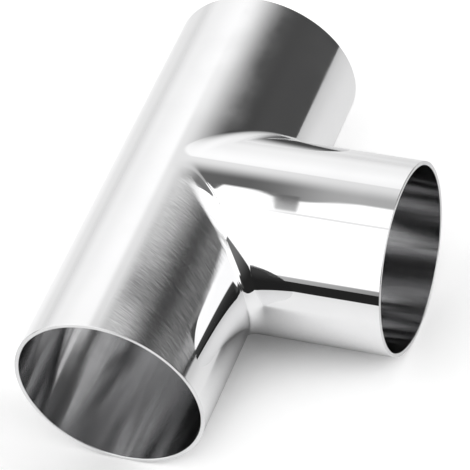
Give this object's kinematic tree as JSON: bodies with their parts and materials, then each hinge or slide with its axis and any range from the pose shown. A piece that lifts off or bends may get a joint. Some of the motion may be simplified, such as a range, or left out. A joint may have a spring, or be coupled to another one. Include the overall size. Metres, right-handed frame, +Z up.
{
  "type": "drain tee",
  "caption": "Thin-walled polished stainless steel equal tee for butt welding, with a formed branch at right angles to a straight run.",
  "frame": {"origin": "where the axes of the run and the branch cross", "axes": "+Y along the run, towards its far end; +X along the branch, out of its mouth; +Z up as it lies"},
  "size_m": [0.1286, 0.181, 0.0762],
  "materials": {
    "polished_steel": "mirror-polished stainless steel with faint polishing lines, duller and finely drawn inside"
  },
  "bodies": {
    "root": {"tee_body": "polished_steel"}
  },
  "joints": []
}
